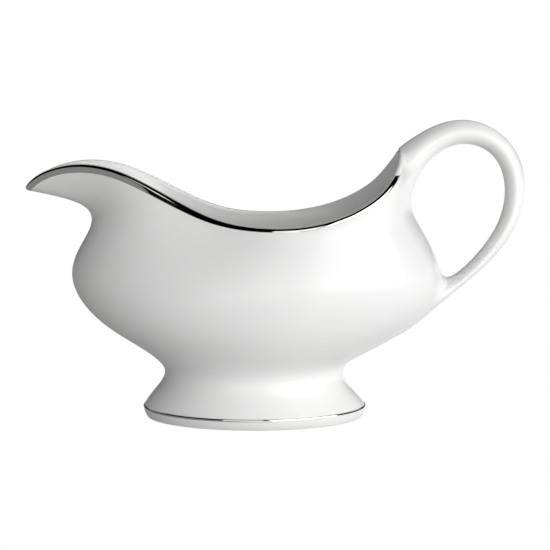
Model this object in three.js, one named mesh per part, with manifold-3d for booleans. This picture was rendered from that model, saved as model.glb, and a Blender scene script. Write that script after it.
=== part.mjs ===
// Footed sauce boat in glazed bone china, with platinum bands on its lip and round its foot.
// Millimetres, +Z up. The spout points to -X, the handle to +X, and Y = 0 is the mirror plane.
// The origin is on the table, under the middle of the whole object.
import * as THREE from "three";
import { LoftGeometry } from "three/addons/geometries/LoftGeometry.js";
import { mergeVertices } from "three/addons/utils/BufferGeometryUtils.js";
import Module from "manifold-3d";

// ---- Driving dimensions ----

const WALL = 3.0; // thickness of the cast body
const LIP_RADIUS = 1.3; // the rim is rounded over with this radius
const SEAM_GAP = 0.3; // slip seam between the body, the foot and the handle

// Outer skin of foot and bowl together, from the foot's widest edge to the lip. Each row is one level:
// height of its sides, share of the lip's rise, share of the lip's plan shape, front x, rear x, half width.
const LEVELS = [
  [4.8, 0, 0, -59.9, 41, 34.3],
  [9.9, 0, 0, -56.5, 36.6, 31.8],
  [15.4, 0, 0, -52.1, 31.9, 29.2],
  [20.9, 0, 0, -50.1, 30.7, 28.2],
  [25.9, 0, 0, -53.2, 34.4, 30.6],
  [32.4, 0, 0, -61.8, 46.2, 36.2],
  [41.9, 0.02, 0.02, -76.8, 62, 42.8],
  [53.4, 0.05, 0.1, -87.9, 72, 47],
  [64.4, 0.13, 0.25, -91.3, 73.1, 48],
  [73.6, 0.28, 0.45, -87.4, 67, 46.6],
  [80.4, 0.5, 0.65, -82.5, 60.2, 44.8],
  [85.6, 0.76, 0.85, -87.3, 59.2, 43.6],
  [88.4, 1, 1, -110.4, 57, 43.5],
];
const NECK_LEVEL = 3; // the foot ends and the bowl begins at the narrowest level
const LIP_LEVEL = LEVELS.length - 1;
const FLOOR_LEVEL = 3.9; // the inside skin starts here
const THICKENING_ROWS = 3; // inside rows over which the wall grows from the lip's thickness

// Rings of the inside floor: size as a share of the inside skin's lowest ring, and drop below its middle.
// The last one is a touch higher than the one before, so its cap faces up into the bowl.
const FLOOR_RINGS = [
  [0.88, 1.5],
  [0.6, 2.2],
  [0.2, 2.1],
];

// How closely a level's own front and rear keep to its ends where it has the lip's plan.
const FRONT_SHARPNESS = 6;
const REAR_SHARPNESS = 2;

// The lip from the handle (first) to the tip of the spout (last): x, half width, height, and how far the
// band reaches down the outside below the round of the lip.
const LIP_STATIONS = [
  [57, 0, 119.1, 0.3],
  [56, 15.5, 116.1, 0.3],
  [53, 27.3, 110.3, 0.3],
  [46, 35.8, 102, 0.3],
  [32, 41.5, 93.6, 0.3],
  [14, 43.5, 88.8, 0.3],
  [-6, 40.3, 88.4, 0.8],
  [-27, 33, 91.9, 1.5],
  [-48, 26.3, 101.4, 2.1],
  [-69, 21.5, 110.8, 2.3],
  [-89, 15.5, 112.9, 2.2],
  [-104.5, 8.2, 107.7, 1.7],
  [-110.4, 0, 102.3, 1.4],
];

// Foot below its widest edge, from the ground up: how far in from that edge, and the height.
const FOOT_TUCK = [
  [2, 0],
  [1.4, 0.6],
  [0.6, 2.4],
  [0.15, 4.2],
];
const FOOT_RING_WIDTH = 2.4; // flat ring that the boat stands on
const FOOT_TOP_LEVEL = 2.91; // a slip seam below the neck
const FOOT_HOLLOW_LEVEL = 0.35; // where the hollow's wall starts, above the flat ring

// Handle from the lip round to its tail on the belly: x, z, half thickness, half width.
const HANDLE_STATIONS = [
  [50, 106.2, 8, 12],
  [59.2, 115.6, 7, 9.8],
  [70.6, 124.6, 5.8, 8.2],
  [83.5, 128.3, 5.4, 7.3],
  [95.9, 124.6, 4.9, 6.8],
  [104.2, 115, 4.6, 6.5],
  [106.9, 102, 4.4, 6.4],
  [104.1, 88.4, 3.9, 6.4],
  [97, 76.4, 3.4, 6.6],
  [86.8, 65.6, 2.8, 7.4],
  [75.4, 56.4, 2.9, 9],
  [63.9, 47.7, 3.4, 10.3],
  [53, 40.5, 3.4, 9],
];

const BAND_THICKNESS = 0.3;
const BAND_GAP = 0.2; // between a band and the skin under it
const LIP_BAND_TURN = THREE.MathUtils.degToRad(120); // how far it goes over the round of the lip
const LIP_BAND_END = THREE.MathUtils.degToRad(28); // it stops this far round from the handle
const FOOT_BAND_TOP_LEVEL = 0.12; // 0.6 mm above the foot's widest edge

const SMALL = 1e-3; // step for slopes, in levels, stations or radians
const CLEARANCE_TOP = 145; // above everything

// Facet counts
const AROUND = 64;
const HANDLE_AROUND = 20;
const HANDLE_STEPS = 40;

// ---- Smooth curves ----

// A curve with smooth curvature through rows of numbers, one row per unit of its parameter.
// Its control rows are the ones whose cubic B-spline passes through the given rows.
function curveThrough(rows, closed) {
  const count = rows.length;
  const control = rows.map((row) => [...row]);
  const row = (i) => control[(i + count) % count];
  for (let pass = 0; pass < 40; pass++) {
    for (let i = closed ? 0 : 1; i < (closed ? count : count - 1); i++) {
      control[i] = rows[i].map((value, k) => (6 * value - row(i - 1)[k] - row(i + 1)[k]) / 4);
    }
  }
  if (!closed) {
    const reflect = (end, next) => end.map((value, k) => 2 * value - next[k]);
    control.unshift(reflect(control[0], control[1]));
    control.push(reflect(control[count], control[count - 1]));
  }
  const at = (i) => (closed ? row(i) : control[i + 1]);
  return (u) => {
    const whole = closed ? Math.floor(u) : Math.min(Math.max(Math.floor(u), 0), count - 2);
    const w = u - whole;
    const weights = [(1 - w) ** 3, 3 * w ** 3 - 6 * w ** 2 + 4, -3 * w ** 3 + 3 * w ** 2 + 3 * w + 1, w ** 3];
    return rows[0].map((_, k) => {
      return weights.reduce((sum, weight, j) => sum + weight * at(whole - 1 + j)[k], 0) / 6;
    });
  };
}

const mix = (a, b, share) => a + (b - a) * share;
const steps = (from, to, count) => Array.from({ length: count + 1 }, (_, i) => mix(from, to, i / count));

// ---- Skin of the body ----

const levelAt = curveThrough(LEVELS, false);
const otherSide = LIP_STATIONS.slice(1, -1).reverse().map(([x, y, ...rest]) => [x, -y, ...rest]);
const lipAt = curveThrough([...LIP_STATIONS, ...otherSide], true);
const lipStation = (angle) => (angle * (LIP_STATIONS.length - 1)) / Math.PI;
const LIP_REAR = LIP_STATIONS[0][0];
const LIP_FRONT = LIP_STATIONS.at(-1)[0];
const LIP_HALF_WIDTH = LEVELS[LIP_LEVEL][5];
const LIP_LOW = LEVELS[LIP_LEVEL][0];

// A point of the outer skin. The angle runs from the handle (0) round to the spout (PI).
// Levels are ellipses low down, and take on the lip's plan and rise towards the top.
function skin(level, angle) {
  const [height, rise, plan, front, rear, halfWidth] = levelAt(level);
  const [x, y, z] = lipAt(lipStation(angle));
  const rearward = (1 + Math.cos(angle)) / 2;
  const pulledIn = (front - LIP_FRONT) * (1 - rearward) ** FRONT_SHARPNESS;
  const pushedOut = (rear - LIP_REAR) * rearward ** REAR_SHARPNESS;
  const across = mix(Math.sin(angle), y / LIP_HALF_WIDTH, plan);
  return new THREE.Vector3(
    mix(mix(front, rear, rearward), x + pulledIn + pushedOut, plan),
    halfWidth * across,
    height + rise * (z - LIP_LOW),
  );
}

// The skin's point with its outward normal, the direction up the wall square to the level's own line,
// and how many millimetres up the wall one level is there.
function skinFrame(level, angle) {
  const above = Math.min(level + SMALL, LIP_LEVEL);
  const climb = skin(above, angle).sub(skin(level - SMALL, angle)).divideScalar(above - level + SMALL);
  const along = skin(level, angle + SMALL).sub(skin(level, angle - SMALL));
  const out = along.clone().cross(climb).normalize();
  const up = out.clone().cross(along).normalize();
  return { point: skin(level, angle), out, up, speed: climb.dot(up) };
}

// A point at a distance outside the skin (negative is inside).
function offsetSkin(level, angle, distance) {
  const { point, out } = skinFrame(level, angle);
  return point.addScaledVector(out, distance);
}

// A point on the round lip, grown by a margin. Turn is 0 on the outside and PI on the inside.
function lip(angle, turn, margin = 0) {
  const { point, out, up } = skinFrame(LIP_LEVEL, angle);
  return point
    .addScaledVector(out, (LIP_RADIUS + margin) * Math.cos(turn) - LIP_RADIUS)
    .addScaledVector(up, (LIP_RADIUS + margin) * Math.sin(turn));
}

// A point at a distance inside the foot's widest edge, level with it in plan, at any height.
function footEdge(angle, inset, height) {
  const point = skin(0, angle);
  const [, , , front, rear, halfWidth] = LEVELS[0];
  const halfLength = (rear - front) / 2;
  const outward = new THREE.Vector3(Math.cos(angle) / halfLength, Math.sin(angle) / halfWidth, 0);
  point.addScaledVector(outward.normalize(), -inset);
  return point.setZ(height);
}

const angles = steps(0, 2 * Math.PI, AROUND).slice(0, -1);
const loop = (pointAt) => angles.map(pointAt);
const bowlLevels = [
  ...steps(NECK_LEVEL, LIP_LEVEL - 1, 14),
  ...steps(LIP_LEVEL - 1, LIP_LEVEL, 5).slice(1),
];

// ---- Pieces ----

// Slip-cast bowl with its spout: outer skin, round lip, inside skin and a flat floor.
function bowl() {
  const lipTurns = steps(0, Math.PI, 6).slice(1, -1);
  const inside = steps(LIP_LEVEL, FLOOR_LEVEL, 14).map((level, i) => {
    const thickness = mix(2 * LIP_RADIUS, WALL, Math.min(i / THICKENING_ROWS, 1));
    return loop((a) => offsetSkin(level, a, -thickness));
  });
  const lowest = inside.at(-1);
  const centre = lowest[0].clone().add(lowest[AROUND / 2]).divideScalar(2);
  const floor = FLOOR_RINGS.map(([share, drop]) => {
    return lowest.map((point) => point.clone().sub(centre).multiplyScalar(share).add(centre).setZ(centre.z - drop));
  });
  const sections = [
    ...bowlLevels.map((level) => loop((a) => skin(level, a))),
    ...lipTurns.map((turn) => loop((a) => lip(a, turn))),
    ...inside,
    ...floor,
  ];
  return new LoftGeometry(sections, { closed: true, capStart: true, capEnd: true });
}

// Hollow flared foot: a ring that is open under the bowl and stands on a narrow flat edge.
function pedestalFoot() {
  const [groundInset] = FOOT_TUCK[0];
  const outline = [
    ...FOOT_TUCK.map(([inset, height]) => loop((a) => footEdge(a, inset, height))),
    ...[0, FOOT_BAND_TOP_LEVEL, ...steps(FOOT_HOLLOW_LEVEL, FOOT_TOP_LEVEL, 6)].map((level) => {
      return loop((a) => skin(level, a));
    }),
    ...steps(FOOT_TOP_LEVEL, FOOT_HOLLOW_LEVEL, 5).map((level) => loop((a) => offsetSkin(level, a, -WALL))),
    loop((a) => footEdge(a, groundInset + FOOT_RING_WIDTH, 0)),
  ];
  return new LoftGeometry([...outline, outline[0]], { closed: true });
}

// Metal band over the lip and a little way down its outside, from one side of the handle to the other.
function lipBand() {
  const path = (angle, margin) => {
    const drop = lipAt(lipStation(angle))[3] / skinFrame(LIP_LEVEL, angle).speed;
    const below = [drop, drop / 2].map((levels) => offsetSkin(LIP_LEVEL - levels, angle, margin));
    return [...below, ...steps(0, LIP_BAND_TURN, 4).map((turn) => lip(angle, turn, margin))];
  };
  const sections = angles
    .filter((a) => a > LIP_BAND_END && a < 2 * Math.PI - LIP_BAND_END)
    .map((a) => [...path(a, BAND_GAP), ...path(a, BAND_GAP + BAND_THICKNESS).reverse()]);
  return new LoftGeometry(sections, { closed: true, capStart: true, capEnd: true });
}

// Narrow metal band round the foot's widest edge.
function footBand() {
  const [bottomInset, bottomHeight] = FOOT_TUCK.at(-1);
  const path = (margin) => [
    loop((a) => footEdge(a, bottomInset - margin, bottomHeight)),
    loop((a) => footEdge(a, -margin, LEVELS[0][0])),
    loop((a) => offsetSkin(FOOT_BAND_TOP_LEVEL, a, margin)),
  ];
  const outline = [...path(BAND_GAP + BAND_THICKNESS), ...path(BAND_GAP).reverse()];
  return new LoftGeometry([...outline, outline[0]], { closed: true });
}

// Oval bar swept along the handle's line, with both of its ends inside the bowl.
function handleBar() {
  const stationAt = curveThrough(HANDLE_STATIONS, false);
  const turns = steps(0, 2 * Math.PI, HANDLE_AROUND).slice(0, -1);
  const sections = steps(0, HANDLE_STATIONS.length - 1, HANDLE_STEPS).map((u) => {
    const [x, z, halfThickness, halfWidth] = stationAt(u);
    const [x1, z1] = stationAt(u - SMALL);
    const [x2, z2] = stationAt(u + SMALL);
    const outward = new THREE.Vector3(z1 - z2, 0, x2 - x1).normalize();
    return turns.map((turn) => {
      const point = new THREE.Vector3(x, -halfWidth * Math.sin(turn), z);
      return point.addScaledVector(outward, halfThickness * Math.cos(turn));
    });
  });
  return new LoftGeometry(sections, { closed: true, capStart: true, capEnd: true });
}

// The bowl's whole inside and wall, grown by the seam and carried up past the handle.
function bowlClearance() {
  const sections = bowlLevels.map((level) => loop((a) => offsetSkin(level, a, SEAM_GAP)));
  sections.push(sections.at(-1).map((point) => point.clone().setZ(CLEARANCE_TOP)));
  return new LoftGeometry(sections, { closed: true, capStart: true, capEnd: true });
}

// ---- Cutting one solid with another ----

const wasm = await Module();
wasm.setup();

function solid(geometry) {
  const bare = new THREE.BufferGeometry();
  bare.setAttribute("position", geometry.getAttribute("position"));
  bare.setIndex(geometry.getIndex());
  const merged = mergeVertices(bare);
  const vertProperties = merged.getAttribute("position").array;
  return new wasm.Manifold(new wasm.Mesh({ numProp: 3, vertProperties, triVerts: merged.index.array }));
}

function cut(body, tool) {
  const { vertProperties, triVerts } = solid(body).subtract(solid(tool)).getMesh();
  const geometry = new THREE.BufferGeometry();
  geometry.setAttribute("position", new THREE.BufferAttribute(vertProperties, 3));
  geometry.setIndex(new THREE.BufferAttribute(triVerts, 1));
  geometry.computeVertexNormals();
  return geometry;
}

// ---- The object ----

const china = new THREE.MeshStandardMaterial({ color: 0xf4f4f1, roughness: 0.12, metalness: 0 });
const platinum = new THREE.MeshStandardMaterial({ color: 0xcfcdc8, roughness: 0.08, metalness: 1 });

function piece(name, geometry, material) {
  const mesh = new THREE.Mesh(geometry, material);
  mesh.name = name;
  return mesh;
}

const sauceBoat = new THREE.Group();
sauceBoat.add(
  piece("bowl", bowl(), china),
  piece("pedestal_foot", pedestalFoot(), china),
  piece("handle", cut(handleBar(), bowlClearance()), china),
  piece("rim_band", lipBand(), platinum),
  piece("foot_band", footBand(), platinum),
);
export default sauceBoat;
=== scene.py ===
"""Footed sauce boat in glazed bone china with platinum bands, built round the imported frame.

Profiles are in millimetres, as in the CAD part, and meshes in metres. +Z is up, the spout points to -X,
the handle to +X, and the camera looks along +Y.
"""

import math

import bpy
import numpy as np
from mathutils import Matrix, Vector
from mathutils.kdtree import KDTree


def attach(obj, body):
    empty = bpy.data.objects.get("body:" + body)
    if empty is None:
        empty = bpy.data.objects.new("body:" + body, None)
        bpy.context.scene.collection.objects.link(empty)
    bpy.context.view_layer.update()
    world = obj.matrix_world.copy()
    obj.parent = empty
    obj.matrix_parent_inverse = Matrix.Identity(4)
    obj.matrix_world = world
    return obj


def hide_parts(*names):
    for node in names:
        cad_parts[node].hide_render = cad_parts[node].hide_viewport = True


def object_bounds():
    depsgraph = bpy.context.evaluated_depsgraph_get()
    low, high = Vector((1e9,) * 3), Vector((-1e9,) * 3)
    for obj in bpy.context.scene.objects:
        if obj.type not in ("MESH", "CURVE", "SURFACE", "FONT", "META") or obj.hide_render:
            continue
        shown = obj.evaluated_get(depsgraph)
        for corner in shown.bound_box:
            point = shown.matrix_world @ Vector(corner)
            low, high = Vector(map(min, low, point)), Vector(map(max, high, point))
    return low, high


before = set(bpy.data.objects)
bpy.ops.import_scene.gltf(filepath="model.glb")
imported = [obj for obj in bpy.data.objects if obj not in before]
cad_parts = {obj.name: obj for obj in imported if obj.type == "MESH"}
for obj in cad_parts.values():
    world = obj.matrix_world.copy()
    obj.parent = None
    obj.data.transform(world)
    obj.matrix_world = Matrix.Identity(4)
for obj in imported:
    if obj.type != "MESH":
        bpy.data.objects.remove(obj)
CAD_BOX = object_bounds()

MM = 0.001

# ---- Driving dimensions, the same as the CAD part's ----

WALL = 3.0
LIP_RADIUS = 1.3

# Outer skin of foot and bowl, one row per level: height of its sides, share of the lip's rise,
# share of the lip's plan shape, front x, rear x, half width.
LEVELS = [
    [4.8, 0, 0, -59.9, 41, 34.3],
    [9.9, 0, 0, -56.5, 36.6, 31.8],
    [15.4, 0, 0, -52.1, 31.9, 29.2],
    [20.9, 0, 0, -50.1, 30.7, 28.2],
    [25.9, 0, 0, -53.2, 34.4, 30.6],
    [32.4, 0, 0, -61.8, 46.2, 36.2],
    [41.9, 0.02, 0.02, -76.8, 62, 42.8],
    [53.4, 0.05, 0.1, -87.9, 72, 47],
    [64.4, 0.13, 0.25, -91.3, 73.1, 48],
    [73.6, 0.28, 0.45, -87.4, 67, 46.6],
    [80.4, 0.5, 0.65, -82.5, 60.2, 44.8],
    [85.6, 0.76, 0.85, -87.3, 59.2, 43.6],
    [88.4, 1, 1, -110.4, 57, 43.5],
]
NECK_LEVEL = 3
LIP_LEVEL = len(LEVELS) - 1
FRONT_SHARPNESS = 6
REAR_SHARPNESS = 2

# The lip from the handle to the tip of the spout: x, half width, height, and how far the band reaches
# down the outside below the round of the lip.
LIP_STATIONS = [
    [57, 0, 119.1, 0.3],
    [56, 15.5, 116.1, 0.3],
    [53, 27.3, 110.3, 0.3],
    [46, 35.8, 102, 0.3],
    [32, 41.5, 93.6, 0.3],
    [14, 43.5, 88.8, 0.3],
    [-6, 40.3, 88.4, 0.8],
    [-27, 33, 91.9, 1.5],
    [-48, 26.3, 101.4, 2.1],
    [-69, 21.5, 110.8, 2.3],
    [-89, 15.5, 112.9, 2.2],
    [-104.5, 8.2, 107.7, 1.7],
    [-110.4, 0, 102.3, 1.4],
]

# Handle from the lip round to its tail on the belly: x, z, half thickness, half width.
HANDLE_STATIONS = [
    [50, 106.2, 8, 12],
    [59.2, 115.6, 7, 9.8],
    [70.6, 124.6, 5.8, 8.2],
    [83.5, 128.3, 5.4, 7.3],
    [95.9, 124.6, 4.9, 6.8],
    [104.2, 115, 4.6, 6.5],
    [106.9, 102, 4.4, 6.4],
    [104.1, 88.4, 3.9, 6.4],
    [97, 76.4, 3.4, 6.6],
    [86.8, 65.6, 2.8, 7.4],
    [75.4, 56.4, 2.9, 9],
    [63.9, 47.7, 3.4, 10.3],
    [53, 40.5, 3.4, 9],
]
HANDLE_END = len(HANDLE_STATIONS) - 1

# Foot below its widest edge, from the flat ring outwards: how far in from that edge, and the height.
FOOT_TUCK = [[2.6, 0], [1.9, 0.1], [1.45, 0.6], [0.6, 2.4], [0.15, 4.2], [0, 4.8]]
FOOT_RING_INSET = 4.4
COVE_LEVEL = 2.5  # the foot's hollow closes over with a cove from here up

# ---- Dimensions of the finish ----

# Inside edge of the foot's ring, from the wall to the flat: how far in past FOOT_RING_INSET, and the height.
FOOT_RING_EDGE = [[0.25, 0.9], [0.1, 0.25], [-0.1, 0.05], [-0.4, 0.0], [-0.9, 0.0]]
FOOT_WALL_BOTTOM_LEVEL = 0.35
COVE_CLEARANCE = 0.1
COVE_TURNS = (90, 75, 60, 45, 30, 15)

FLOOR_LEVEL = 4.6  # inside skin below this is the bowl's floor
FLOOR_DEPTH = 6.4
FLOOR_SHARPNESS = 5.5
FLOOR_RINGS = (0.985, 0.97, 0.95, 0.925, 0.9, 0.87, 0.84, 0.8, 0.75, 0.68, 0.6, 0.45, 0.3, 0.15, 0.04)
UNDERSIDE_HEIGHT = 20.9
UNDERSIDE_RISE = 0.8  # how far the underside is domed
UNDERSIDE_INSET = 2.2
UNDERSIDE_RINGS = (0.04, 0.25, 0.5, 0.75, 0.9, 1.0)
SEAM_OVERLAP = 0.15  # levels that foot and bowl run into each other at the neck
SEAM_DIP = 0.3
SEAM_INSET = 1.5

BAND_PROUD = 0.08  # the lustre stands this far off the glaze
BAND_BURIED = 0.12  # and its back lies this far under it
LIP_BAND_TURN = math.radians(112)
LIP_BAND_END = 111.0  # height on the lip where the band stops, beside the handle
FOOT_BAND_TOP_LEVEL = 0.12

HANDLE_BURIED = 1.3  # the handle's ends stop this deep in the wall
HANDLE_ROW_EASE = 0.55  # rows lie closer together towards both ends
# Width of the slip fillet between handle and bowl. Low down it goes by height. Round the handle's root it
# goes by height above a line that climbs with the root's underside: full under it, tight at the lip.
TAIL_FILLET_WIDTHS = [[30, 3], [50, 3], [60, 9], [72, 11], [90, 12]]
ROOT_FILLET_WIDTHS = [[86, 12], [96, 10.5], [108, 10.5], [113, 8], [116, 4], [119, 1.2], [125, 0.8]]
ROOT_FILLET_FROM = 88.0
ROOT_FILLET_CHANGE = 8.0  # height over which the one width turns into the other
ROOT_LINE_X = 56.0
ROOT_LINE_SLOPE = 0.75
FILLET_DIP = 0.35  # each piece dives this far under the other past their meeting line
# As shares of the fillet's width: where the dive starts and how far it takes, how far a point may move,
# and how deep under the other piece the move has faded out.
FILLET_DIP_START = 0.05
FILLET_DIP_LENGTH = 0.5
FILLET_REACH = 0.45
FILLET_FADE = 0.6

# Fillets are worked out only for points of the bowl and of the handle within these bounds.
BOWL_FILLET_COSINE = 0.5  # of the angle round from the handle
BOWL_FILLET_HEIGHT = 34
HANDLE_FILLET_X = 84
HANDLE_FILLET_HEIGHT = 66
# Stretches in which the handle's surface enters the wall, in stations from its ends, and in which the
# rim band stops, in radians round from the handle.
ROOT_SEARCH = 2.0
TAIL_SEARCH = 2.6
BAND_SEARCH = math.radians(14), math.radians(60)

# ---- Fineness of the meshes and of the steps that place them ----

AROUND = 320
BODY_ROWS = 96
UPPER_ROWS = 22  # in the last level below the lip
LIP_ROWS = 16
INSIDE_ROWS = 84
THINNED_ROWS = 18  # inside rows below the lip over which the wall gets to its full thickness
SEAM_ROWS = 4
TUCK_ROWS = 26
FOOT_ROWS = 60
HOLLOW_ROWS = 26
HANDLE_AROUND = 72
HANDLE_ROWS = 230
BAND_DROP_ROWS = 7
BAND_TURN_ROWS = 11
BAND_SEARCH_STEPS = 240
FILLET_STEPS = 180
NEWTON_STEPS = 5
BISECTION_STEPS = 16
SMALL = 1e-3

# ---- Light and camera ----

CAMERA_TARGET = Vector((-0.225, 0, 64.125)) * MM
CAMERA_DISTANCE = 700 * MM
CAMERA_ELEVATION = math.radians(7.5)
VIEW_WIDTH = 247.5 * MM  # what the camera takes in at the target
SENSOR_WIDTH = 36

# Name, azimuth and elevation in degrees, distance and size in metres, power. Azimuth 0 is towards the
# camera and 90 to the right.
SOFT_LIGHTS = [
    ("key", 42, 10, 1.2, (1.4, 1.1), 15.2),
    ("key_wing", -9, 6, 1.2, (0.62, 0.8), 2.0),
    ("backdrop", 180, 50, 1.6, (3.2, 1.4), 8.5),
]
LIGHTS_AIM = Vector((0, 0, 70)) * MM
FLOOR_SIDE = 3.0

FLOOR_LIGHT = 0.27
ROOM_LIGHT = 0.19
FLOOR_REFLECTED_LEFT = 0.28
FLOOR_REFLECTED_RIGHT = 1.1
ROOM_REFLECTED = 0.0
SURROUND_SEEN = 1.1
HORIZON_BLUR = 0.03
SIDEWAYS_CHANGE = 0.25

WHITE = (1, 1, 1, 1)
BLACK = (0, 0, 0, 1)


# ---- Smooth curves and the skin ----


def curve_through(rows, closed=False):
    """The cubic B-spline that passes through the rows, one row per unit of its parameter."""
    rows = np.array(rows, float)
    count = len(rows)
    control = rows.copy()
    for _ in range(40):
        for i in range(0 if closed else 1, count if closed else count - 1):
            control[i] = (6 * rows[i] - control[i - 1] - control[(i + 1) % count]) / 4
    if closed:
        control = np.vstack([control[-1:], control, control[:2]])
    else:
        before = 2 * control[0] - control[1]
        after = 2 * control[-1] - control[-2]
        control = np.vstack([before, control, after])

    def at(u):
        u = np.asarray(u, float)
        whole = np.floor(u).astype(int)
        whole = whole if closed else np.clip(whole, 0, count - 2)
        w = (u - whole)[..., None]
        whole = whole % count
        weights = [(1 - w) ** 3, 3 * w**3 - 6 * w**2 + 4, -3 * w**3 + 3 * w**2 + 3 * w + 1, w**3]
        return sum(weight * control[whole + j] for j, weight in enumerate(weights)) / 6

    return at


def mix(a, b, share):
    return a + (b - a) * share


def smooth(share):
    share = np.clip(share, 0, 1)
    return share * share * (3 - 2 * share)


def unit(vectors):
    return vectors / np.linalg.norm(vectors, axis=-1, keepdims=True)


OTHER_SIDE = [[x, -y, *rest] for x, y, *rest in LIP_STATIONS[-2:0:-1]]

level_at = curve_through(LEVELS)
lip_at = curve_through(LIP_STATIONS + OTHER_SIDE, closed=True)
handle_at = curve_through(HANDLE_STATIONS)
LIP_REAR = LIP_STATIONS[0][0]
LIP_FRONT = LIP_STATIONS[-1][0]
LIP_LOW = LEVELS[LIP_LEVEL][0]
LIP_HALF_WIDTH = LEVELS[LIP_LEVEL][5]


def lip_station(angle):
    return angle * (len(LIP_STATIONS) - 1) / math.pi


def skin(level, angle):
    """Points of the outer skin. The angle runs from the handle (0) round to the spout (pi)."""
    level, angle = np.broadcast_arrays(np.asarray(level, float), np.asarray(angle, float))
    height, rise, plan, front, rear, half_width = np.moveaxis(level_at(level), -1, 0)
    x, y, z, _ = np.moveaxis(lip_at(lip_station(angle)), -1, 0)
    rearward = (1 + np.cos(angle)) / 2
    pulled_in = (front - LIP_FRONT) * (1 - rearward) ** FRONT_SHARPNESS
    pushed_out = (rear - LIP_REAR) * rearward**REAR_SHARPNESS
    across = mix(np.sin(angle), y / LIP_HALF_WIDTH, plan)
    along = mix(mix(front, rear, rearward), x + pulled_in + pushed_out, plan)
    return np.stack([along, half_width * across, height + rise * (z - LIP_LOW)], -1)


def skin_frame(level, angle):
    """The skin's outward normal, the direction up the wall square to the rim, and mm per level that way."""
    above = np.minimum(level + SMALL, LIP_LEVEL)
    climb = (skin(above, angle) - skin(level - SMALL, angle)) / (above - level + SMALL)[..., None]
    along = skin(level, angle + SMALL) - skin(level, angle - SMALL)
    out = unit(np.cross(along, climb))
    up = unit(np.cross(out, along))
    return out, up, (climb * up).sum(-1)


def offset_skin(level, angle, distance):
    level, angle = np.broadcast_arrays(np.asarray(level, float), np.asarray(angle, float))
    return skin(level, angle) + skin_frame(level, angle)[0] * np.asarray(distance)[..., None]


def lip(angle, turn, margin=0.0):
    """Points on the round lip grown by a margin. Turn is 0 on the outside and pi on the inside."""
    angle, turn = np.broadcast_arrays(np.asarray(angle, float), np.asarray(turn, float))
    rim = np.full(angle.shape, float(LIP_LEVEL))
    out, up, _ = skin_frame(rim, angle)
    outward = (LIP_RADIUS + margin) * np.cos(turn) - LIP_RADIUS
    upward = (LIP_RADIUS + margin) * np.sin(turn)
    return skin(rim, angle) + out * outward[..., None] + up * upward[..., None]


def foot_edge(angle, inset, height):
    """The foot's widest edge in plan, moved in by an inset, at any height."""
    points = skin(0, angle)
    _, _, _, front, rear, half_width = LEVELS[0]
    outward = np.stack([np.cos(angle) / (rear - front) * 2, np.sin(angle) / half_width, 0 * angle], -1)
    points = points - unit(outward) * inset
    points[..., 2] = height
    return points


# ---- Meshes ----


def as_object(name, points, faces):
    """A smooth-shaded mesh object, kept inside the CAD model's box."""
    low, high = (np.array(corner) for corner in CAD_BOX)
    mesh = bpy.data.meshes.new(name)
    mesh.from_pydata(np.clip(points * MM, low, high).tolist(), [], faces)
    mesh.validate()
    mesh.shade_smooth()
    obj = bpy.data.objects.new(name, mesh)
    bpy.context.scene.collection.objects.link(obj)
    return obj


def grid_faces(rows, columns, closed_rows=False):
    """Quads between loops of points, facing out where the loops run anticlockwise and the rows climb."""
    faces = []
    for i in range(rows if closed_rows else rows - 1):
        below, above = i * columns, (i + 1) % rows * columns
        for j in range(columns):
            k = (j + 1) % columns
            faces.append((below + j, below + k, above + k, above + j))
    return faces


def lofted(name, rows, cap_ends=False, closed=False):
    """A loft through closed loops of points, with its ends closed by flat caps or joined to each other."""
    rows = np.array(rows)
    count, columns, _ = rows.shape
    faces = grid_faces(count, columns, closed_rows=closed)
    if cap_ends:
        faces.append(tuple(reversed(range(columns))))
        faces.append(tuple(range((count - 1) * columns, count * columns)))
    return as_object(name, rows.reshape(-1, 3), faces)


ANGLES = np.linspace(0, 2 * math.pi, AROUND, endpoint=False)


# ---- Distances to the bowl and to the handle, for the fillets between them ----

LIP_SPAN = 0.5  # the round of the lip, as levels past the last one
CARRIED_SPAN = 1.5  # the wall carried on above the lip, as levels
CARRIED_SPEED = 10  # millimetres per level there
BELLY_LEVEL = 4.5
REAR_ANGLE = 80


def bowl_surface(u, v):
    """Outer skin up to the lip, then over the lip's round to its inside."""
    on_skin = offset_skin(np.minimum(u, LIP_LEVEL), v, 0.0)
    over = lip(v, np.clip((u - LIP_LEVEL) / LIP_SPAN, 0, 1) * math.pi)
    return np.where((u > LIP_LEVEL)[..., None], over, on_skin)


def carried_skin(u, v):
    """Outer skin, carried straight on above the lip."""
    base = np.minimum(u, LIP_LEVEL)
    _, up, _ = skin_frame(base, v)
    return skin(base, v) + up * (np.maximum(u - LIP_LEVEL, 0) * CARRIED_SPEED)[..., None]


def handle_surface(u, v):
    """Oval bar along the handle's line. v is 0 on the outside of the loop and pi on its inside."""
    x, z, half_thickness, half_width = np.moveaxis(handle_at(u), -1, 0)
    ahead, behind = handle_at(u + SMALL), handle_at(u - SMALL)
    outward_x = behind[..., 1] - ahead[..., 1]
    outward_z = ahead[..., 0] - behind[..., 0]
    length = np.hypot(outward_x, outward_z)
    swing = half_thickness * np.cos(v) / length
    return np.stack([x + outward_x * swing, -half_width * np.sin(v), z + outward_z * swing], -1)


def normals_of(surface, u, v, low, high):
    ahead, behind = np.minimum(u + SMALL, high), np.maximum(u - SMALL, low)
    climb = surface(ahead, v) - surface(behind, v)
    along = surface(u, v + SMALL) - surface(u, v - SMALL)
    return unit(np.cross(along, climb))


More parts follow.
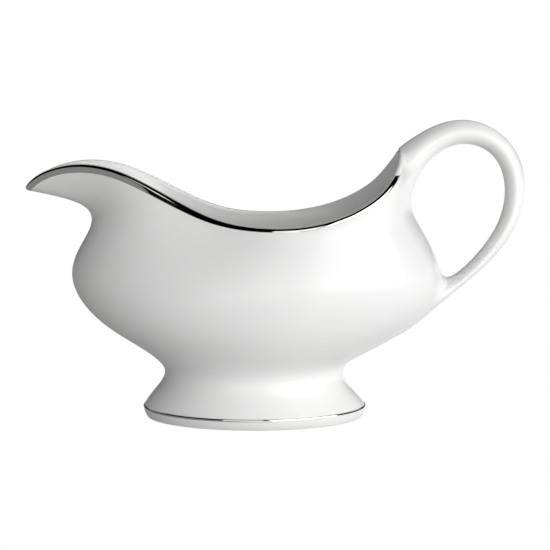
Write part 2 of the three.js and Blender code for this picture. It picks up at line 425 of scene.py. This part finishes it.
class Distance:
    """Signed distance to a parametric surface: nearest sample first, then Gauss-Newton steps."""

    def __init__(self, surface, us, vs):
        self.surface, self.low, self.high = surface, us[0], us[-1]
        self.u, self.v = (a.ravel() for a in np.meshgrid(us, vs, indexing="ij"))
        self.tree = KDTree(len(self.u))
        for i, point in enumerate(surface(self.u, self.v)):
            self.tree.insert(point, i)
        self.tree.balance()

    def start(self, points):
        found = np.array([self.tree.find(p)[1] for p in points])
        return self.u[found], self.v[found]

    def __call__(self, points, near):
        u, v = near
        for _ in range(NEWTON_STEPS):
            ahead, behind = np.minimum(u + SMALL, self.high), np.maximum(u - SMALL, self.low)
            here = self.surface(u, v)
            by_u = (self.surface(ahead, v) - self.surface(behind, v)) / (ahead - behind)[:, None]
            by_v = (self.surface(u, v + SMALL) - self.surface(u, v - SMALL)) / (2 * SMALL)
            gap = points - here
            a, b, c = (by_u * by_u).sum(1), (by_u * by_v).sum(1), (by_v * by_v).sum(1)
            p, q = (by_u * gap).sum(1), (by_v * gap).sum(1)
            det = a * c - b * b + 1e-9
            u = np.clip(u + np.clip((c * p - b * q) / det, -0.3, 0.3), self.low, self.high)
            v = v + np.clip((a * q - b * p) / det, -0.3, 0.3)
        here = self.surface(u, v)
        gap = points - here
        side = np.sign((gap * self.normals(u, v)).sum(1))
        return np.linalg.norm(gap, axis=1) * side, (u, v)

    def normals(self, u, v):
        return normals_of(self.surface, u, v, self.low, self.high)


def rear_levels(on_skin, past_lip, span):
    """Levels from the belly up to the lip, and then on past it."""
    return np.concatenate([
        np.linspace(BELLY_LEVEL, LIP_LEVEL, on_skin),
        LIP_LEVEL + np.linspace(0, span, past_lip + 1)[1:],
    ])


to_bowl = Distance(
    bowl_surface,
    rear_levels(90, 6, LIP_SPAN),
    np.radians(np.linspace(-REAR_ANGLE, REAR_ANGLE, 170)),
)
to_carried_skin = Distance(
    carried_skin,
    rear_levels(80, 15, CARRIED_SPAN),
    np.radians(np.linspace(-REAR_ANGLE, REAR_ANGLE, 150)),
)
to_handle = Distance(
    handle_surface,
    np.linspace(0, HANDLE_END, 260),
    np.linspace(0, 2 * math.pi, 48, endpoint=False),
)


# ---- Fillets ----


def fillet_width(points):
    tail, root = np.array(TAIL_FILLET_WIDTHS, float), np.array(ROOT_FILLET_WIDTHS, float)
    x, height = points[:, 0], points[:, 2]
    above_line = height - ROOT_LINE_SLOPE * (x - ROOT_LINE_X)
    by_height = np.interp(height, tail[:, 0], tail[:, 1])
    by_line = np.interp(above_line, root[:, 0], root[:, 1])
    return mix(by_height, by_line, smooth((height - ROOT_FILLET_FROM) / ROOT_FILLET_CHANGE))


def cubic_through(samples, share):
    """The cubic through four samples taken at the shares 0, 1/3, 2/3 and 1."""
    first, second, third, last = samples
    return (
        first * (1 - 3 * share) * (1 - 1.5 * share) * (1 - share)
        + second * 9 * share * (1 - 1.5 * share) * (1 - share)
        - third * 4.5 * share * (1 - 3 * share) * (1 - share)
        + last * share * (1 - 3 * share) * (1 - 1.5 * share)
    )


def fillet_shift(points, normals, distance_to_other):
    """How far points move along their normals so that the two surfaces flow into each other.

    It solves a smooth minimum of the two distances for zero. Past the line where the pieces meet, each
    one dives a little under the other.
    """
    shift = np.zeros(len(points))
    width = fillet_width(points)
    distance, near = distance_to_other(points, distance_to_other.start(points))
    active = distance < width
    if not active.any():
        return shift
    points, normals, width, distance = (a[active] for a in (points, normals, width, distance))
    near = tuple(a[active] for a in near)
    reach = FILLET_REACH * width

    samples = [distance]
    for share in (1 / 3, 2 / 3, 1):
        sample, near = distance_to_other(points + normals * (reach * share)[:, None], near)
        samples.append(sample)
    share = np.linspace(0, 1, FILLET_STEPS + 1)[:, None]
    own = share * reach
    other = cubic_through(samples, share)
    blend = np.clip(1 - np.abs(own - other) / width, 0, 1)
    value = np.minimum(own, other) - blend**2 * width / 4
    value = value + FILLET_DIP * smooth((own - other) / (FILLET_DIP_LENGTH * width) - FILLET_DIP_START)

    above = value > 0
    crossing = np.argmax(above, axis=0)
    columns = np.arange(len(points))
    after = value[crossing, columns]
    before = value[np.maximum(crossing - 1, 0), columns]
    part = np.where(crossing > 0, -before / np.maximum(after - before, 1e-9), 0)
    solved = np.maximum((crossing - 1 + part) / FILLET_STEPS * reach, 0)
    highest = np.argmax(value, axis=0) / FILLET_STEPS * reach
    found = np.where(above.any(axis=0), solved, highest)
    faded = FILLET_FADE * width
    shift[active] = found * smooth((distance + faded) / faded)
    return shift


# ---- Pieces ----


def bowl_outside():
    """Outer skin and round lip, drawn out to the handle where it joins."""
    levels = np.concatenate([
        np.linspace(NECK_LEVEL, LIP_LEVEL - 1, BODY_ROWS, endpoint=False),
        np.linspace(LIP_LEVEL - 1, LIP_LEVEL, UPPER_ROWS),
    ])
    level_grid, angle_grid = np.meshgrid(levels, ANGLES, indexing="ij")
    out, _, _ = skin_frame(level_grid, angle_grid)
    turns = np.linspace(0, math.pi, LIP_ROWS)[1:-1]
    turn_grid, lip_angles = np.meshgrid(turns, ANGLES, indexing="ij")
    lip_out, lip_up, _ = skin_frame(np.full(lip_angles.shape, float(LIP_LEVEL)), lip_angles)
    lip_normals = lip_out * np.cos(turn_grid)[..., None] + lip_up * np.sin(turn_grid)[..., None]

    points = np.concatenate([skin(level_grid, angle_grid), lip(lip_angles, turn_grid)])
    normals = np.concatenate([out, lip_normals])
    rearward = np.cos(np.concatenate([angle_grid, lip_angles]))
    near_handle = (rearward > BOWL_FILLET_COSINE) & (points[..., 2] > BOWL_FILLET_HEIGHT)
    shift = fillet_shift(points[near_handle], normals[near_handle], to_handle)
    points[near_handle] += normals[near_handle] * shift[:, None]
    return points


def bowl_underside():
    """Domed underside inside the foot's neck, from its middle out to the seam."""
    rings = []
    edge = offset_skin(NECK_LEVEL, ANGLES, -UNDERSIDE_INSET)
    middle = np.array([edge[:, 0].mean(), 0, 0])
    for share in UNDERSIDE_RINGS:
        ring = middle + (edge - middle) * share
        ring[:, 2] = UNDERSIDE_HEIGHT + UNDERSIDE_RISE * (1 - share**2)
        rings.append(ring)
    rings.append(offset_skin(NECK_LEVEL - SEAM_OVERLAP, ANGLES, -SEAM_INSET))
    return rings


def bowl_inside():
    """Inside skin from the lip down, then the dished floor."""
    levels = np.linspace(LIP_LEVEL, FLOOR_LEVEL, INSIDE_ROWS)
    thickness = mix(2 * LIP_RADIUS, WALL, smooth(np.arange(INSIDE_ROWS) / THINNED_ROWS))
    rings = [offset_skin(level, ANGLES, -wall) for level, wall in zip(levels, thickness)]
    lowest = rings[-1]
    middle = np.array([(lowest[0, 0] + lowest[AROUND // 2, 0]) / 2, 0, 0])
    floor_height = lowest[:, 2].mean()
    for share in FLOOR_RINGS:
        wall_share = share**FLOOR_SHARPNESS
        ring = middle + (lowest - middle) * share
        ring[:, 2] = mix(floor_height, lowest[:, 2], wall_share) - FLOOR_DEPTH * (1 - wall_share)
        rings.append(ring)
    return rings


def seam_dip(level):
    """Foot and bowl run on past the neck's seam, each a little under the other."""
    return -SEAM_DIP * ((level - NECK_LEVEL) / SEAM_OVERLAP) ** 2


def build_bowl(name):
    """Slip-cast body: underside, outer skin, round lip, inside skin and floor, as one closed mesh."""
    seam_levels = np.linspace(NECK_LEVEL - SEAM_OVERLAP, NECK_LEVEL, SEAM_ROWS)[:-1]
    seam = [offset_skin(level, ANGLES, seam_dip(level)) for level in seam_levels]
    return lofted(name, [*bowl_underside(), *seam, *bowl_outside(), *bowl_inside()], cap_ends=True)


def build_foot(name):
    """Hollow foot: flat ring, tucked edge, flare up to the neck, and a cove inside under the bowl."""
    tuck = curve_through(FOOT_TUCK)(np.linspace(0, len(FOOT_TUCK) - 1, TUCK_ROWS))
    rows = [foot_edge(ANGLES, inset, max(height, 0)) for inset, height in tuck]
    rows += [skin(level, ANGLES) for level in np.linspace(0, NECK_LEVEL, FOOT_ROWS)[1:]]
    for level in np.linspace(NECK_LEVEL, NECK_LEVEL + SEAM_OVERLAP, SEAM_ROWS)[1:]:
        rows.append(offset_skin(level, ANGLES, seam_dip(level)))
    spring = offset_skin(COVE_LEVEL, ANGLES, -WALL)
    cove = UNDERSIDE_HEIGHT + COVE_CLEARANCE - spring[0, 2]
    middle = np.array([spring[:, 0].mean(), 0, 0])
    inward = unit((middle - spring) * [1, 1, 0])
    for turn in np.radians(COVE_TURNS):
        ring = spring + inward * cove * (1 - math.cos(turn))
        ring[:, 2] = spring[:, 2] + cove * math.sin(turn)
        rows.append(ring)
    for level in np.linspace(COVE_LEVEL, FOOT_WALL_BOTTOM_LEVEL, HOLLOW_ROWS):
        rows.append(offset_skin(level, ANGLES, -WALL))
    for inset, height in FOOT_RING_EDGE:
        rows.append(foot_edge(ANGLES, FOOT_RING_INSET + inset, height))
    return lofted(name, rows, closed=True)


def depth_in_wall(u, v):
    """How deep points of the handle's surface lie in the bowl's wall, less than 0 inside it."""
    points = handle_surface(u, v)
    _, near = to_carried_skin(points, to_carried_skin.start(points))
    return ((points - carried_skin(*near)) * to_carried_skin.normals(*near)).sum(-1)


def end_of_handle(turns, inside, outside):
    """The parameter where each line of the handle's surface is HANDLE_BURIED deep in the wall."""
    low = np.full(len(turns), float(inside))
    high = np.full(len(turns), float(outside))
    for _ in range(BISECTION_STEPS):
        middle = (low + high) / 2
        deep = depth_in_wall(middle, turns) < -HANDLE_BURIED
        low = np.where(deep, middle, low)
        high = np.where(deep, high, middle)
    return high


def build_handle(name):
    """Loop handle with both ends buried in the bowl's wall and slip fillets where it joins."""
    turns = np.linspace(0, 2 * math.pi, HANDLE_AROUND, endpoint=False)
    start = end_of_handle(turns, 0, ROOT_SEARCH)
    stop = end_of_handle(turns, HANDLE_END, HANDLE_END - TAIL_SEARCH)
    share = np.linspace(0, 1, HANDLE_ROWS)
    share = share - HANDLE_ROW_EASE * np.sin(2 * math.pi * share) / (2 * math.pi)
    u = mix(start[None], stop[None], share[:, None])
    v = np.broadcast_to(turns, u.shape)
    points = handle_surface(u, v).reshape(-1, 3)
    normals = normals_of(handle_surface, u, v, 0, HANDLE_END).reshape(-1, 3)
    near_bowl = (points[:, 0] < HANDLE_FILLET_X) | (points[:, 2] < HANDLE_FILLET_HEIGHT)
    shift = fillet_shift(points[near_bowl], normals[near_bowl], to_bowl)
    points[near_bowl] += normals[near_bowl] * shift[:, None]
    return lofted(name, points.reshape(*u.shape, 3), cap_ends=True)


def build_rim_band(name):
    """Lustre over the lip and a little way down its outside. It stops level on each side of the handle."""
    drops = np.linspace(1, 0, BAND_DROP_ROWS)[:-1]
    turns = np.linspace(0, LIP_BAND_TURN, BAND_TURN_ROWS)

    def section_rows(angles, margin):
        """One row of points for each step of the band's section, at that row's own angles."""
        rows = []
        for drop, angle in zip(drops, angles):
            speed = skin_frame(np.full(angle.shape, float(LIP_LEVEL)), angle)[2]
            depth = lip_at(lip_station(angle))[..., 3] * drop / speed
            rows.append(offset_skin(LIP_LEVEL - depth, angle, margin))
        for turn, angle in zip(turns, angles[len(drops):]):
            rows.append(lip(angle, turn, margin))
        return np.array(rows)

    steps = len(drops) + len(turns)
    search = np.linspace(*BAND_SEARCH, BAND_SEARCH_STEPS)
    heights = section_rows([search] * steps, 0.0)[..., 2]
    ends = np.array([search[np.argmax(row < LIP_BAND_END)] for row in heights])
    share = np.linspace(0, 1, AROUND)
    angles = ends[:, None] + (2 * math.pi - 2 * ends[:, None]) * share
    front, back = section_rows(angles, BAND_PROUD), section_rows(angles, -BAND_BURIED)
    loops = np.concatenate([back, front[::-1]]).transpose(1, 0, 2)
    return lofted(name, loops, cap_ends=True)


def build_foot_band(name):
    """Thin lustre line round the foot's widest edge."""
    inset, height = FOOT_TUCK[-2]
    edge_height = LEVELS[0][0]

    def sheet(margin):
        rows = []
        for share in (0, 0.5, 1):
            rows.append(foot_edge(ANGLES, mix(inset, 0, share) - margin, mix(height, edge_height, share)))
        for share in (0.5, 1):
            rows.append(offset_skin(FOOT_BAND_TOP_LEVEL * share, ANGLES, margin))
        return rows

    return lofted(name, sheet(BAND_PROUD) + sheet(-BAND_BURIED)[::-1], closed=True)


# ---- Materials ----


def node_tree(name):
    material = bpy.data.materials.new(name)
    material.use_nodes = True
    nodes, links = material.node_tree.nodes, material.node_tree.links
    return material, nodes, links, nodes["Principled BSDF"]


def add(nodes, kind, **values):
    """A new node with the given socket values, or settings where no socket has that name."""
    node = nodes.new(kind)
    for key, value in values.items():
        if key in node.inputs:
            node.inputs[key].default_value = value
        else:
            setattr(node, key, value)
    return node


def china_material():
    """White bone china under a clear glaze: slight pooling, faint waviness, bare clay on the foot ring."""
    material, nodes, links, shader = node_tree("china_glaze")
    place = add(nodes, "ShaderNodeTexCoord").outputs["Object"]

    cloud = add(nodes, "ShaderNodeTexNoise", Scale=22.0, Detail=3.0, Roughness=0.5)
    links.new(place, cloud.inputs["Vector"])
    tone = add(nodes, "ShaderNodeValToRGB")
    tone.color_ramp.elements[0].color = (0.835, 0.84, 0.835, 1)
    tone.color_ramp.elements[0].position = 0.3
    tone.color_ramp.elements[1].color = (0.86, 0.86, 0.85, 1)
    tone.color_ramp.elements[1].position = 0.7
    links.new(cloud.outputs["Fac"], tone.inputs["Fac"])

    height = add(nodes, "ShaderNodeSeparateXYZ")
    links.new(place, height.inputs["Vector"])
    bare_below_glaze = {"From Min": 0.0004, "From Max": 0.0009, "To Min": 1.0, "To Max": 0.0}
    bare = add(nodes, "ShaderNodeMapRange", **bare_below_glaze)
    links.new(height.outputs["Z"], bare.inputs["Value"])

    colour = add(nodes, "ShaderNodeMix", data_type="RGBA")
    links.new(bare.outputs["Result"], colour.inputs["Factor"])
    links.new(tone.outputs["Color"], colour.inputs[6])
    colour.inputs[7].default_value = (0.80, 0.77, 0.72, 1)
    links.new(colour.outputs[2], shader.inputs["Base Color"])

    rough = add(nodes, "ShaderNodeMapRange", **{"To Min": 0.24, "To Max": 0.6})
    links.new(bare.outputs["Result"], rough.inputs["Value"])
    links.new(rough.outputs["Result"], shader.inputs["Roughness"])

    ripple = add(nodes, "ShaderNodeTexNoise", Scale=38.0, Detail=2.0, Roughness=0.4)
    links.new(place, ripple.inputs["Vector"])
    grain = add(nodes, "ShaderNodeTexNoise", Scale=2600.0, Detail=2.0)
    links.new(place, grain.inputs["Vector"])
    clay = add(nodes, "ShaderNodeMath", operation="MULTIPLY")
    links.new(grain.outputs["Fac"], clay.inputs[0])
    links.new(bare.outputs["Result"], clay.inputs[1])
    soft_bump = add(nodes, "ShaderNodeBump", Strength=0.12, Distance=0.0004)
    links.new(ripple.outputs["Fac"], soft_bump.inputs["Height"])
    clay_bump = add(nodes, "ShaderNodeBump", Strength=0.5, Distance=0.0001)
    links.new(clay.outputs["Value"], clay_bump.inputs["Height"])
    links.new(soft_bump.outputs["Normal"], clay_bump.inputs["Normal"])
    links.new(clay_bump.outputs["Normal"], shader.inputs["Normal"])

    shader.inputs["IOR"].default_value = 1.5
    shader.inputs["Subsurface Weight"].default_value = 0.1
    shader.inputs["Subsurface Radius"].default_value = (1.0, 0.9, 0.75)
    shader.inputs["Subsurface Scale"].default_value = 0.002
    return material


def platinum_material():
    """Fired platinum lustre: a bright mirror film with faint brush strokes in its roughness."""
    material, nodes, links, shader = node_tree("platinum_lustre")
    place = add(nodes, "ShaderNodeTexCoord").outputs["Object"]
    strokes = add(nodes, "ShaderNodeTexNoise", Scale=160.0, Detail=4.0, Roughness=0.6)
    links.new(place, strokes.inputs["Vector"])
    rough = add(nodes, "ShaderNodeMapRange", **{"To Min": 0.03, "To Max": 0.1})
    links.new(strokes.outputs["Fac"], rough.inputs["Value"])
    links.new(rough.outputs["Result"], shader.inputs["Roughness"])
    tone = add(nodes, "ShaderNodeValToRGB")
    tone.color_ramp.elements[0].color = (0.70, 0.68, 0.65, 1)
    tone.color_ramp.elements[1].color = (0.78, 0.77, 0.745, 1)
    links.new(strokes.outputs["Fac"], tone.inputs["Fac"])
    links.new(tone.outputs["Color"], shader.inputs["Base Color"])
    shader.inputs["Metallic"].default_value = 1.0
    return material


# ---- Camera, floor and light ----


def build_camera():
    data = bpy.data.cameras.new("camera")
    data.sensor_width = SENSOR_WIDTH
    data.lens = CAMERA_DISTANCE / VIEW_WIDTH * SENSOR_WIDTH
    data.clip_start = 0.01
    camera = bpy.data.objects.new("camera", data)
    back = Vector((0, -math.cos(CAMERA_ELEVATION), math.sin(CAMERA_ELEVATION)))
    camera.location = CAMERA_TARGET + back * CAMERA_DISTANCE
    camera.rotation_euler = (math.pi / 2 - CAMERA_ELEVATION, 0, 0)
    bpy.context.scene.collection.objects.link(camera)
    bpy.context.scene.camera = camera


def soft_light(name, azimuth, elevation, distance, size, power):
    data = bpy.data.lights.new(name, "AREA")
    data.shape = "RECTANGLE"
    data.size, data.size_y = size
    data.energy = power
    light = bpy.data.objects.new(name, data)
    a, e = math.radians(azimuth), math.radians(elevation)
    away = Vector((math.sin(a), -math.cos(a), 0)) * math.cos(e) + Vector((0, 0, math.sin(e)))
    light.location = LIGHTS_AIM + away * distance
    light.rotation_euler = (LIGHTS_AIM - light.location).to_track_quat("-Z", "Y").to_euler()
    bpy.context.scene.collection.objects.link(light)


def build_floor():
    """A white sheet that only the camera sees. The surround's lower half lights the object in its place."""
    side = FLOOR_SIDE
    corners = [(-side, -side, 0), (side, -side, 0), (side, side, 0), (-side, side, 0)]
    mesh = bpy.data.meshes.new("floor")
    mesh.from_pydata(corners, [], [(0, 1, 2, 3)])
    floor = bpy.data.objects.new("floor", mesh)
    bpy.context.scene.collection.objects.link(floor)
    material, _, _, shader = node_tree("floor")
    shader.inputs["Base Color"].default_value = BLACK
    shader.inputs["Roughness"].default_value = 1.0
    shader.inputs["Specular IOR Level"].default_value = 0.0
    shader.inputs["Emission Color"].default_value = WHITE
    shader.inputs["Emission Strength"].default_value = 1.0
    floor.data.materials.append(material)
    floor.visible_diffuse = False
    floor.visible_glossy = False
    floor.visible_shadow = False


def build_world():
    """White to look at. For lighting, a pale floor below the horizon and soft light above it.

    In reflections the part above the horizon is the dark of the studio, and the floor gets brighter
    towards the key light's side.
    """
    world = bpy.data.worlds.new("surround")
    bpy.context.scene.world = world
    world.use_nodes = True
    nodes, links = world.node_tree.nodes, world.node_tree.links
    nodes.clear()
    path = add(nodes, "ShaderNodeLightPath")
    direction = add(nodes, "ShaderNodeSeparateXYZ")
    links.new(add(nodes, "ShaderNodeTexCoord").outputs["Generated"], direction.inputs["Vector"])

    def change(axis, half_span, low, high):
        """A number that goes from low to high across the middle of one axis of the direction."""
        ramp = add(nodes, "ShaderNodeMapRange", **{"From Min": -half_span, "From Max": half_span})
        ramp.inputs["To Min"].default_value = low
        ramp.inputs["To Max"].default_value = high
        links.new(direction.outputs[axis], ramp.inputs["Value"])
        return ramp

    def background(ramp):
        light = add(nodes, "ShaderNodeBackground", Color=WHITE)
        links.new(ramp.outputs["Result"], light.inputs["Strength"])
        return light

    def choose(ray_kind, otherwise, chosen):
        chooser = add(nodes, "ShaderNodeMixShader")
        links.new(path.outputs[ray_kind], chooser.inputs["Fac"])
        links.new(otherwise.outputs[0], chooser.inputs[1])
        links.new(chosen.outputs[0], chooser.inputs[2])
        return chooser

    lighting = background(change("Z", HORIZON_BLUR, FLOOR_LIGHT, ROOM_LIGHT))
    reflected = change("Z", HORIZON_BLUR, 0.0, ROOM_REFLECTED)
    floor_reflected = change("X", SIDEWAYS_CHANGE, FLOOR_REFLECTED_LEFT, FLOOR_REFLECTED_RIGHT)
    links.new(floor_reflected.outputs["Result"], reflected.inputs["To Min"])
    seen = add(nodes, "ShaderNodeBackground", Color=WHITE, Strength=SURROUND_SEEN)
    unseen = choose("Is Glossy Ray", lighting, background(reflected))
    surround = choose("Is Camera Ray", unseen, seen)
    links.new(surround.outputs[0], add(nodes, "ShaderNodeOutputWorld").inputs["Surface"])


build_camera()
build_world()
build_floor()
for light in SOFT_LIGHTS:
    soft_light(*light)
bpy.context.scene.view_settings.view_transform = "Standard"

china = china_material()
platinum = platinum_material()
pieces = [
    ("bowl", build_bowl, china, "china_glaze"),
    ("pedestal_foot", build_foot, china, "china_glaze"),
    ("handle", build_handle, china, "china_glaze"),
    ("rim_band", build_rim_band, platinum, "platinum_lustre"),
    ("foot_band", build_foot_band, platinum, "platinum_lustre"),
]
for node, build, material, slot in pieces:
    piece = build(node + "_finish")
    piece.data.materials.append(material)
    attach(piece, "root")
    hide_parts(node)
